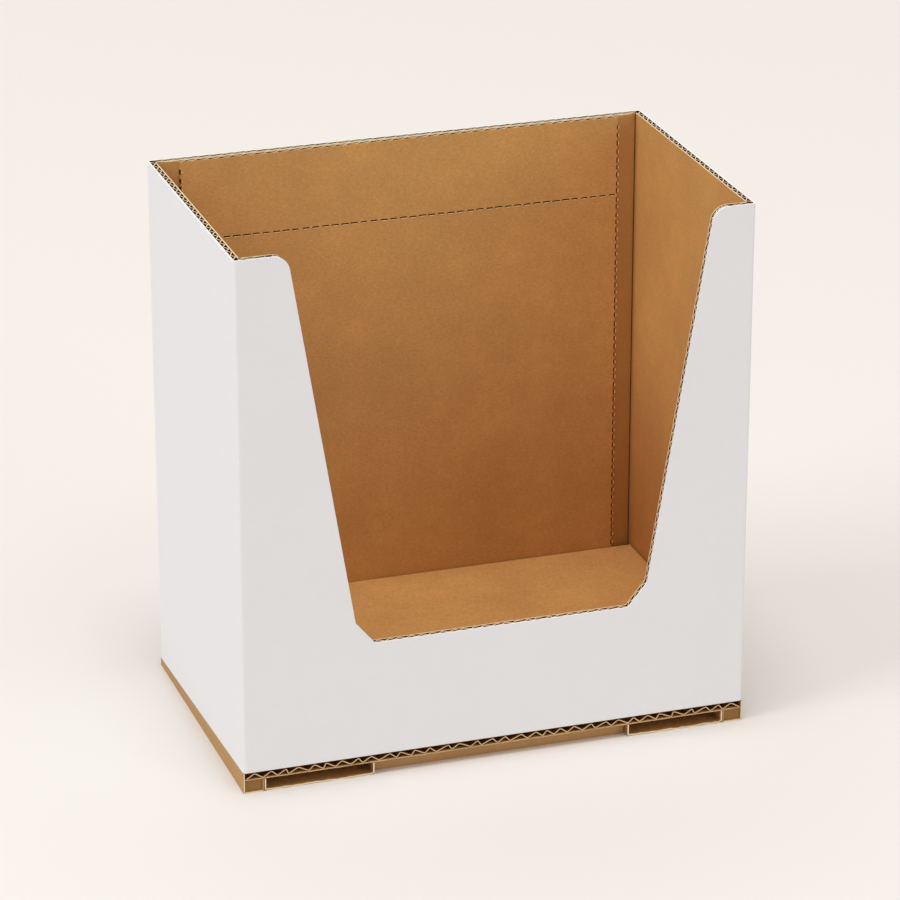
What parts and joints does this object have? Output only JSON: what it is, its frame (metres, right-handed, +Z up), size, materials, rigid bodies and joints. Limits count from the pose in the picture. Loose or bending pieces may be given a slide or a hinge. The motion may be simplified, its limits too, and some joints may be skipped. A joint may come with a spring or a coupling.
{
  "type": "counter display box",
  "caption": "White-faced corrugated counter display box with a deep front cut-out, kraft inside, a raised floor and a low wedge base with finger slots.",
  "frame": {"origin": "middle of the footprint, on the surface that the box stands on", "axes": "+Z up, the cut-out front faces -Y, +X to the right seen from the front"},
  "size_m": [0.3, 0.18, 0.316],
  "materials": {
    "white_board": "matt white outer liner, kraft inner liner",
    "kraft_board": "matt brown kraft",
    "kraft_sheet": "matt brown kraft sheet"
  },
  "bodies": {
    "root": {"sleeve": "white_board", "back_panel": "kraft_board", "floor_insert": "kraft_board", "deck_board": "kraft_board", "corner_rail_left": "kraft_sheet", "corner_rail_right": "kraft_sheet", "slot_tray_left": "kraft_sheet", "slot_tray_right": "kraft_sheet", "centre_foot": "kraft_sheet"}
  },
  "joints": []
}
